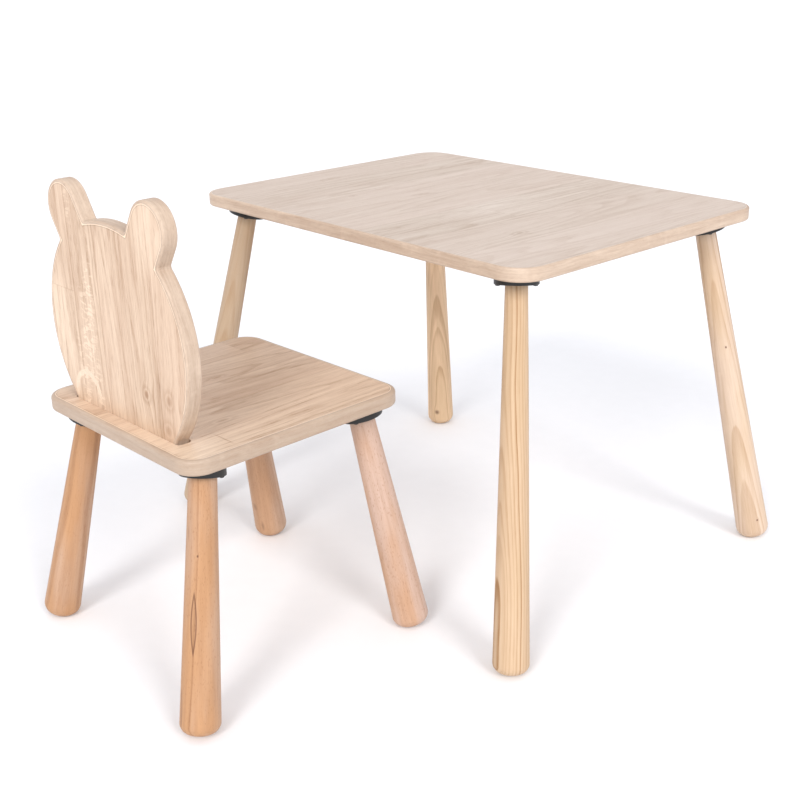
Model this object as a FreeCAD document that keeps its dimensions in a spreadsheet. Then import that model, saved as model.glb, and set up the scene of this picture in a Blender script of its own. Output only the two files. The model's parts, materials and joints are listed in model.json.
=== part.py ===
import FreeCAD, Part

import math
import os
import re

import Sketcher
from FreeCAD import Vector

# A small wooden table and one matching chair for a young child.
#
# Frame: millimetres, +Z up, the floor at z = 0. The table's long side runs along X. The chair stands
# at the table's -Y side and faces +Y, towards it. The origin is on the floor, under the middle of the
# box round the whole set.
#
# Both pieces are made the same way: a banded board on four turned legs. A wedge plate under each
# corner sets how far its leg leans and in which direction. A hanger bolt holds each leg: its wood
# thread sits in the leg and its machine thread in a steel sleeve moulded into the plate.

SIZES = [
    # The table
    ("table_length", 600, "long side of the table top"),
    ("table_width", 440, "short side of the table top"),
    ("table_height", 470, "floor to the upper face of the table top"),
    ("table_board", 16, "thickness of the table top"),
    ("table_corner", 36, "plan radius of the table top's corners"),
    ("table_band", 3.5, "thickness of the strip round the table top"),
    ("table_rounding", 2.5, "rounding of the table top's upper and lower edges"),
    ("table_inset_long", 49, "leg centre to the end of the table top, along X"),
    ("table_inset_short", 44.8, "leg centre to the side of the table top, along Y"),
    ("table_leg_top", 12.7, "radius of a table leg at its top"),
    ("table_leg_foot", 21.8, "radius of a table leg at its foot"),
    # The chair
    ("chair_length", 300, "seat from side to side"),
    ("chair_width", 300, "seat from back to front"),
    ("chair_height", 305, "floor to the upper face of the seat"),
    ("chair_board", 18, "thickness of the seat"),
    ("chair_corner", 28, "plan radius of the seat's corners"),
    ("chair_band", 5, "thickness of the strip round the seat"),
    ("chair_rounding", 4, "rounding of the seat's upper and lower edges"),
    ("chair_inset_long", 35.5, "leg centre to the side of the seat"),
    ("chair_inset_short", 38.3, "leg centre to the front or back of the seat"),
    ("chair_leg_top", 15, "radius of a chair leg at its top"),
    ("chair_leg_foot", 22.7, "radius of a chair leg at its foot"),
    ("chair_aside", -5.8, "seat centre along X from the table's centre"),
    ("chair_away", 395, "seat centre along Y from the table's centre, towards -Y"),
    ("chair_turn", 1.7, "degrees that the chair is turned out of square with the table"),
    # The backrest, a flat board with a disc shaped outline, a flatter crown and two round ears
    ("back_board", 18, "thickness of the backrest"),
    ("back_band", 3.5, "thickness of the strip round the backrest"),
    ("back_rounding", 2.5, "rounding of the backrest's front and back edges"),
    ("back_setback", 21.8, "back of the seat to the back face of the backrest"),
    ("back_aside", -6.5, "middle of the backrest from the middle of the seat, along X"),
    ("disc_radius", 135, "radius of the disc shaped outline"),
    ("disc_middle", 91.5, "middle of the disc above the seat"),
    ("crown_radius", 170, "radius of the flatter top between the ears"),
    ("crown_top", 219.5, "top of the outline between the ears, above the seat"),
    ("ear_radius", 31, "radius of an ear, and half its width"),
    ("ear_reach", 155, "middle of the disc to the middle of an ear"),
    ("ear_angle", 32, "degrees from upright to an ear"),
    ("notch_radius", 4, "rounding between an ear and the disc"),
    ("foot_width", 200, "width of the backrest's foot, in the seat's slot"),
    ("foot_corner", 5, "rounding of the foot's lower corners"),
    ("slot_floor", 9, "seat left under the slot for the backrest"),
    ("slot_spare", 6, "slot past each end of the backrest's foot"),
    ("slot_clearance", 0.2, "gap between the backrest's faces and the slot's sides"),
    ("cutter_radius", 6, "rounding of the slot's ends, left by the cutter"),
    ("back_screw_spacing", 62, "between the backrest's three screws"),
    # What the two share
    ("foot_rounding", 12, "rounding of a leg's foot"),
    ("leg_edge", 1.2, "rounding of a leg's upper edge"),
    ("plate_radius", 25, "radius of a leg plate"),
    ("plate_height", 15.5, "height of a leg plate on the leg's axis"),
    ("plate_edge", 1.2, "rounding of a leg plate's lower rim"),
    ("sleeve_radius", 5.5, "outer radius of the steel sleeve in a plate"),
    ("sleeve_length", 11.5, "length of the steel sleeve"),
    ("bolt_radius", 4, "radius of the hanger bolt's machine thread"),
    ("bolt_up", 10.5, "length of the machine thread above the leg"),
    ("bolt_shoulder", 8, "length of the plain shank inside the leg"),
    ("wood_thread_radius", 3.5, "radius of the hanger bolt's wood thread"),
    ("wood_thread_length", 34, "length of the wood thread, with its point"),
    ("thread_pitch", 3.4, "pitch of the wood thread"),
    ("thread_depth", 0.8, "depth of the wood thread"),
    ("thread_clearance", 0.05, "gap between a thread and its hole"),
    ("screw_radius", 1.8, "radius of a plate screw"),
    ("screw_spare", 0.4, "plate screws stop this far short of the level of the slot's floor"),
    ("screw_head_radius", 3.3, "radius of a plate screw's head"),
    ("screw_head_height", 2.4, "height of a plate screw's head"),
    ("screw_ring", 20.5, "screw centres to the plate's centre"),
    ("screw_sink", 1.1, "plate screws' heads let into the plate, beside the leg"),
    ("screw_clearance", 0.2, "gap round a screw where it is free to turn"),
    ("pilot_clearance", 0.05, "gap round a screw in its pilot hole"),
    ("long_screw_radius", 2.2, "radius of a backrest screw"),
    ("long_screw_length", 40, "length of a backrest screw"),
    ("long_screw_head", 4.2, "radius of a backrest screw's countersunk head"),
    ("recess_width", 1.1, "width of the cross recess in a screw's head"),
    ("recess_depth", 1.2, "depth of the cross recess in a screw's head"),
    # Where the set stands over the origin, worked out below from the box round it
    ("origin_x", 0, "table centre along X from the origin"),
    ("origin_y", 0, "table centre along Y from the origin"),
]

# Each leg's own lean from upright and turn from its corner's diagonal, in degrees, with the side of
# its corner along X and along Y. Both are set by the plate above it, screwed on by hand.
CORNERS = {
    "table": {
        "front_right": (1, -1, 11.5, -2),
        "back_right": (1, 1, 13, 6),
        "back_left": (-1, 1, 9.5, -7),
        "front_left": (-1, -1, 13.5, 4),
    },
    "chair": {
        "back_right": (1, -1, 16, -8),
        "front_right": (1, 1, 12, -14),
        "front_left": (-1, 1, 15.5, -10),
        "back_left": (-1, -1, 15, -11),
    },
}
for owner, corners in CORNERS.items():
    for corner, (_, _, lean, turn) in corners.items():
        SIZES.append((f"{owner}_{corner}_lean", lean, "degrees that this leg leans from upright"))
        SIZES.append((f"{owner}_{corner}_turn", turn, "degrees that this leg turns from the diagonal"))

NAMES = re.compile(r"\b(" + "|".join(name for name, _, _ in SIZES) + r")\b")

doc = FreeCAD.newDocument("TableAndChair")
sheet = doc.addObject("Spreadsheet::Sheet", "Sizes")
CELL_OF = {}
for row, (name, size, meaning) in enumerate(SIZES, start=1):
    sheet.set(f"A{row}", name)
    sheet.set(f"B{row}", str(size))
    sheet.setAlias(f"B{row}", name)
    sheet.set(f"C{row}", meaning)
    CELL_OF[name] = f"B{row}"
doc.recompute()


# Ties between objects and the sheet

def bind(thing, path, expression):
    """Tie one property of an object to the sheet. Names of sizes are written bare."""
    thing.setExpression(path, NAMES.sub(r"Sizes.\1", expression))


def value(expression):
    """The number that an expression gives now."""
    return float(sheet.evalExpression(NAMES.sub(r"Sizes.\1", expression)))


def shift(x="0", y="0", z="0"):
    return f"placement(vector({x}; {y}; {z}); rotation(vector(0; 0; 1); 0))"


def turned(axis, angle):
    return f"placement(vector(0; 0; 0); rotation(vector({axis}); {angle}))"


def place(thing, *steps):
    """Put an object where a chain of shifts and turns takes it, each in the frame of the last."""
    bind(thing, "Placement", " * ".join(steps))


UPRIGHT = "0; 0; 1"
ACROSS = "0; 1; 0"


# Sketches and features

def body(name):
    return doc.addObject("PartDesign::Body", name)


def sketch_on(owner, name, role, height="0"):
    """An empty sketch on one of the body's own planes, lifted off it by a height."""
    sketch = owner.newObject("Sketcher::SketchObject", name)
    plane = next(item for item in owner.Origin.OriginFeatures if item.Role == role)
    sketch.AttachmentSupport = (plane, [""])
    sketch.MapMode = "FlatFace"
    bind(sketch, "AttachmentOffset.Base.z", height)
    return sketch


def fix(sketch, kind, expression, *places):
    """Add one constraint whose size comes from the sheet."""
    number = sketch.addConstraint(Sketcher.Constraint(kind, *places, value(expression)))
    bind(sketch, f"Constraints[{number}]", expression)


def fix_point(sketch, edge, end, across, up):
    """Hold a point of the sketch at given distances from the sketch's origin."""
    fix(sketch, "DistanceX", across, -1, 1, edge, end)
    fix(sketch, "DistanceY", up, -1, 1, edge, end)


def outline(sketch, corners):
    """A closed outline of straight lines through the corners, each a pair of expressions."""
    points = [Vector(value(across), value(up), 0) for across, up in corners]
    first = sketch.GeometryCount
    for start, end in zip(points, points[1:] + points[:1]):
        sketch.addGeometry(Part.LineSegment(start, end))
    count = len(points)
    for step in range(count):
        sketch.addConstraint(Sketcher.Constraint(
            "Coincident", first + step, 2, first + (step + 1) % count, 1))
    for step, (across, up) in enumerate(corners):
        fix_point(sketch, first + step, 1, across, up)
    return sketch


def rounded_outline(sketch, middle, half_x, half_y, radius):
    """A closed rectangle with round corners: its middle, half sizes and corner radius."""
    middle_x, middle_y = middle
    reach_x = f"({half_x} - {radius})"
    reach_y = f"({half_y} - {radius})"
    arcs = []
    for quarter, (side_x, side_y) in enumerate([(1, 1), (-1, 1), (-1, -1), (1, -1)]):
        across = f"{middle_x} + {side_x} * {reach_x}"
        up = f"{middle_y} + {side_y} * {reach_y}"
        ring = Part.Circle(Vector(value(across), value(up), 0), Vector(0, 0, 1), value(radius))
        start = quarter * math.pi / 2
        arcs.append(sketch.addGeometry(Part.ArcOfCircle(ring, start, start + math.pi / 2)))
        fix(sketch, "Radius", radius, arcs[-1])
        fix_point(sketch, arcs[-1], 3, across, up)
    for arc, after in zip(arcs, arcs[1:] + arcs[:1]):
        ends = sketch.getPoint(arc, 2), sketch.getPoint(after, 1)
        line = sketch.addGeometry(Part.LineSegment(*ends))
        sketch.addConstraint(Sketcher.Constraint("Tangent", arc, 2, line, 1))
        sketch.addConstraint(Sketcher.Constraint("Tangent", line, 2, after, 1))
    return sketch


def circles(sketch, centres, radius):
    """Equal circles round the centres, each a pair of expressions."""
    for across, up in centres:
        centre = Vector(value(across), value(up), 0)
        ring = sketch.addGeometry(Part.Circle(centre, Vector(0, 0, 1), value(radius)))
        fix(sketch, "Radius", radius, ring)
        fix_point(sketch, ring, 3, across, up)
    return sketch


def pad(owner, sketch, length, reverse=False, both_ways=False):
    feature = owner.newObject("PartDesign::Pad", sketch.Name + "_pad")
    feature.Profile = sketch
    bind(feature, "Length", length)
    feature.Reversed = reverse
    feature.Midplane = both_ways
    return feature


def pocket(owner, sketch, depth="", reverse=False, both_ways=False):
    """Cut a sketch's shape out of the body, to a depth or right through."""
    feature = owner.newObject("PartDesign::Pocket", sketch.Name + "_pocket")
    feature.Profile = sketch
    if depth:
        bind(feature, "Length", depth)
    else:
        feature.Type = "ThroughAll"
    feature.Reversed = reverse
    feature.Midplane = both_ways
    return feature


def turn_up(owner, sketch, axis="V_Axis", cut=False):
    """Revolve a sketch about an axis of its own, adding to the body or cutting into it."""
    kind = "Groove" if cut else "Revolution"
    feature = owner.newObject(f"PartDesign::{kind}", f"{sketch.Name}_{kind.lower()}")
    feature.Profile = sketch
    feature.ReferenceAxis = (sketch, [axis])
    feature.Angle = 360
    return feature


def round_edges(owner, name, radius, wanted):
    """Round the edges of the body that a test picks out."""
    doc.recompute()
    base = owner.Tip
    picked = [f"Edge{number}" for number, edge in enumerate(base.Shape.Edges, start=1) if wanted(edge)]
    if not picked:
        raise RuntimeError(f"{owner.Name}: no edge to round for {name}")
    feature = owner.newObject("PartDesign::Fillet", f"{owner.Name}_{name}")
    feature.Base = (base, picked)
    bind(feature, "Radius", radius)
    return feature


def close(one, other):
    return abs(one - other) < 0.01


def runs_along(edge, direction):
    """Whether an edge is a straight line along a direction."""
    if not isinstance(edge.Curve, Part.Line):
        return False
    return abs(edge.tangentAt(edge.FirstParameter).dot(direction)) > 0.9999


def lies_at(edge, axis, level):
    """Whether the whole edge is in the plane where one coordinate has a given value."""
    box = edge.BoundBox
    low, high = {"y": (box.YMin, box.YMax), "z": (box.ZMin, box.ZMax)}[axis]
    return close(low, level) and close(high, level)


NODES = []


def finish(thing, label, *steps):
    """Name a sub-part, put it in its place, and list it to be written."""
    thing.Label = label
    place(thing, *steps)
    NODES.append(thing)


# Where things are. Each owner has its own frame, with the table or chair centred on its z axis.

def owner_steps(owner):
    steps = [shift("origin_x", "origin_y")]
    if owner == "chair":
        steps += [shift("chair_aside", "0 - chair_away"), turned(UPRIGHT, "chair_turn")]
    return steps


def corner_centre(owner, corner):
    """A leg's centre under the board, along X and Y in the owner's frame."""
    side_x, side_y, _, _ = CORNERS[owner][corner]
    return (f"{side_x} * ({owner}_length / 2 - {owner}_inset_long)",
            f"{side_y} * ({owner}_width / 2 - {owner}_inset_short)")


def corner_direction(owner, corner):
    """The direction in which a leg leans, in degrees from X in the owner's frame."""
    side_x, side_y, _, _ = CORNERS[owner][corner]
    diagonal = round(math.degrees(math.atan2(side_y, side_x)))
    return f"({diagonal} + {owner}_{corner}_turn)"


def plate_steps(owner, corner):
    """A plate's frame: on the board's underside, with x in the direction that the leg leans."""
    across, along = corner_centre(owner, corner)
    return owner_steps(owner) + [
        shift(across, along, f"{owner}_height - {owner}_board"),
        turned(UPRIGHT, corner_direction(owner, corner))]


def leg_steps(owner, corner):
    """A leg's frame: its top centre, with z up the leg."""
    return plate_steps(owner, corner) + [
        shift(z="0 - plate_height"),
        turned(ACROSS, f"0 - {owner}_{corner}_lean")]


SLOT_DEPTH = "(chair_board - slot_floor)"
SCREW_HOLD = "(slot_floor - screw_spare)"
SCREW_LEVEL = "(plate_height - screw_sink)"
SCREW_LENGTH = f"({SCREW_LEVEL} + {SCREW_HOLD})"


def screw_spots():
    """A plate's three screws, in the plate's frame: one on each side of the leg, one behind it."""
    return [(f"{x} * screw_ring", f"{y} * screw_ring") for x, y in ((0, 1), (-1, 0), (0, -1))]


def back_screw_spots():
    """The backrest's three screws, along the backrest from its middle."""
    return [f"{step} * back_screw_spacing" for step in (-1, 0, 1)]


# The banded boards

def board_form(owner, sketch_name, name, inset, cut=False):
    """Add or cut a slab with round corners, smaller all round by the inset."""
    sketch = rounded_outline(
        sketch_on(owner, sketch_name, "XY_Plane"), ("0", "0"),
        f"({name}_length / 2 - {inset})", f"({name}_width / 2 - {inset})",
        f"({name}_corner - {inset})")
    if cut:
        pocket(owner, sketch, reverse=True)
    else:
        pad(owner, sketch, f"{name}_board")


def make_band(name, label):
    """The strip round a board, with its upper and lower outer edges rounded."""
    band = body(label)
    board_form(band, f"{label}_outside", name, "0")
    top = value(f"{name}_board")
    round_edges(band, "rounding", f"{name}_rounding", lambda edge: (
        lies_at(edge, "z", 0) or lies_at(edge, "z", top)))
    board_form(band, f"{label}_inside", name, f"{name}_band", cut=True)
    finish(band, label, *owner_steps(name), shift(z=f"{name}_height - {name}_board"))


def make_board(name, label):
    """The board inside the strip, bored from below for the plates' screws."""
    board = body(label)
    board_form(board, f"{label}_slab", name, f"{name}_band")
    pilots = []
    for corner in CORNERS[name]:
        across, along = corner_centre(name, corner)
        way = corner_direction(name, corner)
        for x, y in screw_spots():
            pilots.append((f"{across} + {x} * cos({way}) - {y} * sin({way})",
                           f"{along} + {x} * sin({way}) + {y} * cos({way})"))
    holes = circles(sketch_on(board, f"{label}_pilots", "XY_Plane"), pilots,
                    "screw_radius + pilot_clearance")
    pocket(board, holes, f"{SCREW_HOLD} + pilot_clearance", reverse=True)
    if name == "chair":
        cut_slot(board)
    finish(board, label, *owner_steps(name), shift(z=f"{name}_height - {name}_board"))


def back_line():
    """The backrest's middle plane, along Y in the chair's frame."""
    return "(back_setback + back_board / 2 - chair_width / 2)"


def cut_slot(board):
    """The slot that the backrest stands in, and the holes of its screws."""
    slot = rounded_outline(
        sketch_on(board, "slot", "XY_Plane", "chair_board"), ("back_aside", back_line()),
        "(foot_width / 2 + slot_spare)", "(back_board / 2 + slot_clearance)", "cutter_radius")
    pocket(board, slot, SLOT_DEPTH)
    clear = "(long_screw_radius + screw_clearance)"
    head = "(long_screw_head + screw_clearance)"
    for number, spot in enumerate(back_screw_spots()):
        across = f"back_aside + {spot}"
        hole = sketch_on(board, f"back_screw_hole_{number}", "XZ_Plane", f"0 - {back_line()}")
        outline(hole, [(across, "0 - 1"), (across, "slot_floor + 1"),
                       (f"{across} + {clear}", "slot_floor + 1"),
                       (f"{across} + {clear}", f"{head} - {clear}"),
                       (f"{across} + {head}", "0"), (f"{across} + {head}", "0 - 1")])
        turn_up(board, hole, "Edge1", cut=True)


# The backrest, made upright in its own frame: x across, z up from the seat, y through the board

def back_profile(sketch, inset):
    """The disc with its flatter crown, run down into the foot, smaller all round by the inset."""
    middle = value("disc_middle")
    radius = value(f"disc_radius - {inset}")
    crown_radius = value(f"crown_radius - {inset}")
    crown_middle = value("crown_top - crown_radius")
    foot = value(f"foot_width / 2 - {inset}")
    low = value(f"{inset} - {SLOT_DEPTH}")
    # Where the crown meets the disc, and where the disc meets the foot
    meet = (radius ** 2 - crown_radius ** 2 + crown_middle ** 2 - middle ** 2) / (
        2 * (crown_middle - middle))
    meet_x = math.sqrt(radius ** 2 - (meet - middle) ** 2)
    foot_top = middle - math.sqrt(radius ** 2 - foot ** 2)
    rise = math.atan2(meet - middle, meet_x)
    dip = math.atan2(foot_top - middle, foot)
    crown_rise = math.atan2(meet - crown_middle, meet_x)
    normal = Vector(0, 0, 1)
    disc = Part.Circle(Vector(0, middle, 0), normal, radius)
    crown = Part.Circle(Vector(0, crown_middle, 0), normal, crown_radius)
    right = sketch.addGeometry(Part.ArcOfCircle(disc, dip, rise))
    top = sketch.addGeometry(Part.ArcOfCircle(crown, crown_rise, math.pi - crown_rise))
    left = sketch.addGeometry(Part.ArcOfCircle(disc, math.pi - rise, math.pi - dip))
    points = [Vector(-foot, foot_top, 0), Vector(-foot, low, 0), Vector(foot, low, 0),
              Vector(foot, foot_top, 0)]
    down, under, up = [sketch.addGeometry(Part.LineSegment(start, end))
                       for start, end in zip(points, points[1:])]
    ring = [right, top, left, down, under, up]
    for one, other in zip(ring, ring[1:] + ring[:1]):
        sketch.addConstraint(Sketcher.Constraint("Coincident", one, 2, other, 1))
    for arc in (right, left):
        fix(sketch, "Radius", f"disc_radius - {inset}", arc)
        fix_point(sketch, arc, 3, "0", "disc_middle")
    fix(sketch, "Radius", f"crown_radius - {inset}", top)
    fix_point(sketch, top, 3, "0", "crown_top - crown_radius")
    fix(sketch, "DistanceX", f"{inset} - foot_width / 2", -1, 1, down, 1)
    fix_point(sketch, under, 1, f"{inset} - foot_width / 2", f"{inset} - {SLOT_DEPTH}")
    fix_point(sketch, up, 1, f"foot_width / 2 - {inset}", f"{inset} - {SLOT_DEPTH}")
    fix(sketch, "DistanceX", f"foot_width / 2 - {inset}", -1, 1, up, 2)
    return sketch


def ear_point(side, reach, aside):
    """A point of an ear, by its reach from the disc's middle and its distance beside the ear's axis."""
    return (f"{side} * ({reach} * sin(ear_angle) + {aside} * cos(ear_angle))",
            f"disc_middle + {reach} * cos(ear_angle) - {aside} * sin(ear_angle)")


def back_form(owner, prefix, inset, cut=False):
    """Add or cut the backrest's whole outline, smaller all round by the inset."""
    def apply(sketch):
        if cut:
            pocket(owner, sketch, both_ways=True)
        else:
            pad(owner, sketch, "back_board", both_ways=True)

    apply(back_profile(sketch_on(owner, f"{prefix}_disc", "XZ_Plane"), inset))
    half = f"(ear_radius - {inset})"
    for side, word in ((-1, "left"), (1, "right")):
        stem = sketch_on(owner, f"{prefix}_{word}_stem", "XZ_Plane")
        root = "(disc_radius * 0.7)"
        apply(outline(stem, [
            ear_point(side, root, f"(0 - {half})"), ear_point(side, "ear_reach", f"(0 - {half})"),
            ear_point(side, "ear_reach", half), ear_point(side, root, half)]))
        tip = sketch_on(owner, f"{prefix}_{word}_tip", "XZ_Plane")
        apply(circles(tip, [ear_point(side, "ear_reach", "0")], half))
    round_edges(owner, f"{prefix}_notches", f"notch_radius + {inset}",
                lambda edge: is_notch(edge, value(inset)))
    foot = value(f"foot_width / 2 - {inset}")
    low = value(f"{inset} - {SLOT_DEPTH}")

    def is_foot_corner(edge):
        start = edge.Vertexes[0]
        return (runs_along(edge, Vector(0, 1, 0)) and close(abs(start.X), foot)
                and close(start.Z, low))

    round_edges(owner, f"{prefix}_foot_corners", f"foot_corner - {inset}", is_foot_corner)


def is_notch(edge, inset):
    """Whether an edge is where the side of an ear meets the disc or its crown."""
    if not runs_along(edge, Vector(0, 1, 0)):
        return False
    start = edge.Vertexes[0]
    up = start.Z - value("disc_middle")
    angle = math.radians(value("ear_angle"))
    aside = abs(start.X) * math.cos(angle) - up * math.sin(angle)
    along = abs(start.X) * math.sin(angle) + up * math.cos(angle)
    on_side = close(abs(aside), value("ear_radius") - inset)
    on_disc = close(math.hypot(start.X, up), value("disc_radius") - inset)
    crown_middle = value("crown_top - crown_radius")
    on_crown = close(math.hypot(start.X, start.Z - crown_middle), value("crown_radius") - inset)
    return on_side and along > 0 and (on_disc or on_crown)


def drill_back(owner, prefix):
    """The pilot holes of the backrest's screws, up from the foot's lower edge."""
    radius = "(long_screw_radius + pilot_clearance)"
    depth = "(long_screw_length - chair_board + pilot_clearance)"
    for number, across in enumerate(back_screw_spots()):
        hole = outline(sketch_on(owner, f"{prefix}_pilot_{number}", "XZ_Plane"), [
            (across, f"0 - {SLOT_DEPTH} - 1"), (across, depth),
            (f"{across} + {radius}", f"{depth} - {radius}"),
            (f"{across} + {radius}", f"0 - {SLOT_DEPTH} - 1")])
        turn_up(owner, hole, "Edge1", cut=True)


def make_backrest():
    """The backrest's board and the strip round it."""
    half = value("back_board / 2")
    band = body("backrest_edge_band")
    back_form(band, "back_outside", "0")
    # The foot meets the disc at a slight angle, which the strip takes as a bend
    round_edges(band, "bend", "foot_corner * 3", lambda edge: (
        runs_along(edge, Vector(0, 1, 0)) and close(abs(edge.Vertexes[0].X), value("foot_width / 2"))
        and edge.Vertexes[0].Z > value(f"foot_corner - {SLOT_DEPTH}") + 1))
    round_edges(band, "rounding", "back_rounding", lambda edge: (
        lies_at(edge, "y", -half) or lies_at(edge, "y", half)))
    back_form(band, "back_inside", "back_band", cut=True)
    drill_back(band, "band")
    board = body("backrest_board")
    back_form(board, "back_core", "back_band")
    drill_back(board, "board")
    for piece in (band, board):
        finish(piece, piece.Name, *owner_steps("chair"), shift("back_aside", back_line(), "chair_height"))


# Legs, plates and fixings

def make_leg(owner, corner):
    """A turned leg, thin at its top and thick at its rounded foot, just long enough to stand."""
    label = f"{owner}_leg_{corner}"
    top = f"{owner}_leg_top"
    foot = f"{owner}_leg_foot"
    lean = f"{owner}_{corner}_lean"
    drop = f"({owner}_height - {owner}_board - plate_height)"
    # The foot rests on its rounding, whose middle ring has this radius
    slope = f"(({foot} - {top}) / {drop})"
    ring = f"({foot} - foot_rounding * {slope} - foot_rounding * sqrt(1 + {slope} ^ 2))"
    lift = f"(foot_rounding * (1 - cos({lean})) + {ring} * sin({lean}))"
    length = f"(({drop} - {lift}) / cos({lean}))"
    shank = "(bolt_radius + thread_clearance)"
    thread = "(wood_thread_radius + thread_clearance)"
    depth = "(bolt_shoulder + wood_thread_length + thread_clearance)"
    leg = body(label)
    turn_up(leg, outline(sketch_on(leg, f"{label}_profile", "XZ_Plane"), [
        (shank, "0"), (top, "0"), (foot, f"0 - {length}"), ("0", f"0 - {length}"),
        ("0", f"0 - {depth} - {thread}"), (thread, f"0 - {depth}"), (thread, "0 - bolt_shoulder"),
        (shank, "0 - bolt_shoulder")]))
    outer = value(top)
    low = -value(length)
    round_edges(leg, "foot", "foot_rounding", lambda edge: lies_at(edge, "z", low))
    round_edges(leg, "edge", "leg_edge", lambda edge: (
        lies_at(edge, "z", 0) and close(edge.Curve.Radius, outer)))
    finish(leg, label, *leg_steps(owner, corner))


def make_plate(owner, corner):
    """A wedge shaped plate. Its lower face is square to the leg, its upper face lies on the board."""
    label = f"{owner}_plate_{corner}"
    lean = f"{owner}_{corner}_lean"
    deep = f"(plate_height + 2 * plate_radius * tan({lean}))"
    wide = "(plate_radius * 1.5)"
    plate = body(label)
    disc = circles(sketch_on(plate, f"{label}_disc", "XY_Plane"), [("0", "0")], "plate_radius")
    pad(plate, disc, deep, reverse=True)
    wedge = outline(sketch_on(plate, f"{label}_wedge", "XZ_Plane"), [
        (f"0 - {wide}", f"0 - plate_height - {wide} * tan({lean})"),
        (wide, f"{wide} * tan({lean}) - plate_height"),
        (wide, f"0 - {deep} - {wide}"), (f"0 - {wide}", f"0 - {deep} - {wide}")])
    pocket(plate, wedge, both_ways=True)
    round_edges(plate, "rim", "plate_edge", lambda edge: isinstance(edge.Curve, Part.Ellipse))
    holes = circles(sketch_on(plate, f"{label}_holes", "XY_Plane"), screw_spots(),
                    "screw_radius + screw_clearance")
    pocket(plate, holes)
    seats = circles(sketch_on(plate, f"{label}_seats", "XY_Plane", f"0 - {SCREW_LEVEL}"),
                    screw_spots(), "screw_head_radius + screw_clearance")
    pocket(plate, seats)
    # The sleeve's hole runs up from the lower face along the leg's axis
    low = f"(0 - plate_radius * tan({lean}))"

    def on_axis(reach, aside):
        return (f"0 - {reach} * sin({lean}) + {aside} * cos({lean})",
                f"{reach} * cos({lean}) + {aside} * sin({lean}) - plate_height")

    bore = outline(sketch_on(plate, f"{label}_bore", "XZ_Plane"), [
        on_axis(low, "0"), on_axis("sleeve_length", "0"),
        on_axis("sleeve_length", "sleeve_radius"), on_axis(low, "sleeve_radius")])
    turn_up(plate, bore, "Edge1", cut=True)
    finish(plate, label, *plate_steps(owner, corner))


def make_sleeve(owner, corner):
    """The threaded steel sleeve in a plate, on the leg's axis."""
    label = f"{owner}_sleeve_{corner}"
    sleeve = body(label)
    bore = "(bolt_radius + thread_clearance)"
    turn_up(sleeve, outline(sketch_on(sleeve, f"{label}_profile", "XZ_Plane"), [
        (bore, "0"), ("sleeve_radius", "0"), ("sleeve_radius", "sleeve_length"),
        (bore, "sleeve_length")]))
    finish(sleeve, label, *leg_steps(owner, corner))


def make_bolt(owner, corner):
    """A hanger bolt: machine thread above the leg, plain shank and ringed wood thread inside it."""
    label = f"{owner}_hanger_bolt_{corner}"
    bolt = body(label)
    root = "(wood_thread_radius - thread_depth)"
    corners = [("0", "bolt_up"), ("bolt_radius - 1", "bolt_up"), ("bolt_radius", "bolt_up - 1"),
               ("bolt_radius", "0 - bolt_shoulder"), (root, "0 - bolt_shoulder")]
    turns = int(value("(wood_thread_length - wood_thread_radius * 2) / thread_pitch"))
    for turn in range(turns):
        crest = f"(0 - bolt_shoulder - {turn} * thread_pitch - thread_pitch / 2)"
        corners.append((root, f"{crest} + thread_depth"))
        corners.append(("wood_thread_radius", crest))
        corners.append((root, f"{crest} - thread_depth"))
    corners.append((root, "0 - bolt_shoulder - wood_thread_length + wood_thread_radius"))
    corners.append(("0", "0 - bolt_shoulder - wood_thread_length"))
    turn_up(bolt, outline(sketch_on(bolt, f"{label}_profile", "XZ_Plane"), corners))
    finish(bolt, label, *leg_steps(owner, corner))


def cut_recess(screw, depth):
    """The cross recess in a screw's head, which is at the screw's lower end."""
    half = "(recess_width / 2)"
    for name, long_x, long_y in (("recess_x", "recess_width * 2", half),
                                 ("recess_y", half, "recess_width * 2")):
        arm = sketch_on(screw, f"{screw.Name}_{name}", "XY_Plane", f"0 - {depth}")
        outline(arm, [(f"0 - {long_x}", f"0 - {long_y}"), (long_x, f"0 - {long_y}"),
                      (long_x, long_y), (f"0 - {long_x}", long_y)])
        pocket(screw, arm, "recess_depth", reverse=True)


def make_plate_screw():
    """A black pan head screw, its head below z = 0 and its point up."""
    screw = body("plate_screw")
    tip = "(screw_radius * 1.6)"
    turn_up(screw, outline(sketch_on(screw, "plate_screw_profile", "XZ_Plane"), [
        ("0", "0 - screw_head_height"), ("screw_head_radius * 0.8", "0 - screw_head_height"),
        ("screw_head_radius", "0 - screw_head_height * 0.45"), ("screw_head_radius", "0"),
        ("screw_radius", "0"), ("screw_radius", f"{SCREW_LENGTH} - {tip}"), ("0", SCREW_LENGTH)]))
    cut_recess(screw, "screw_head_height")
    return screw


def make_back_screw():
    """A countersunk wood screw, its head's flat face at z = 0 and its point up."""
    screw = body("back_screw")
    cone = "(long_screw_head - long_screw_radius)"
    tip = "(long_screw_radius * 1.6)"
    turn_up(screw, outline(sketch_on(screw, "back_screw_profile", "XZ_Plane"), [
        ("0", "0"), ("long_screw_head", "0"), ("long_screw_radius", cone),
        ("long_screw_radius", f"long_screw_length - {tip}"), ("0", "long_screw_length")]))
    cut_recess(screw, "0")
    return screw


def make_group(label, screw, chains):
    """One sub-part made of equal screws, each a separate solid at the end of its own chain."""
    copies = []
    for number, steps in enumerate(chains, start=1):
        copy = doc.addObject("App::Link", f"{label}_{number}")
        copy.LinkedObject = screw
        bind(copy, "LinkPlacement", " * ".join(steps))
        copies.append(copy)
    group = doc.addObject("Part::Compound", label)
    group.Links = copies
    group.Label = label
    NODES.append(group)


# Build the set

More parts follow.
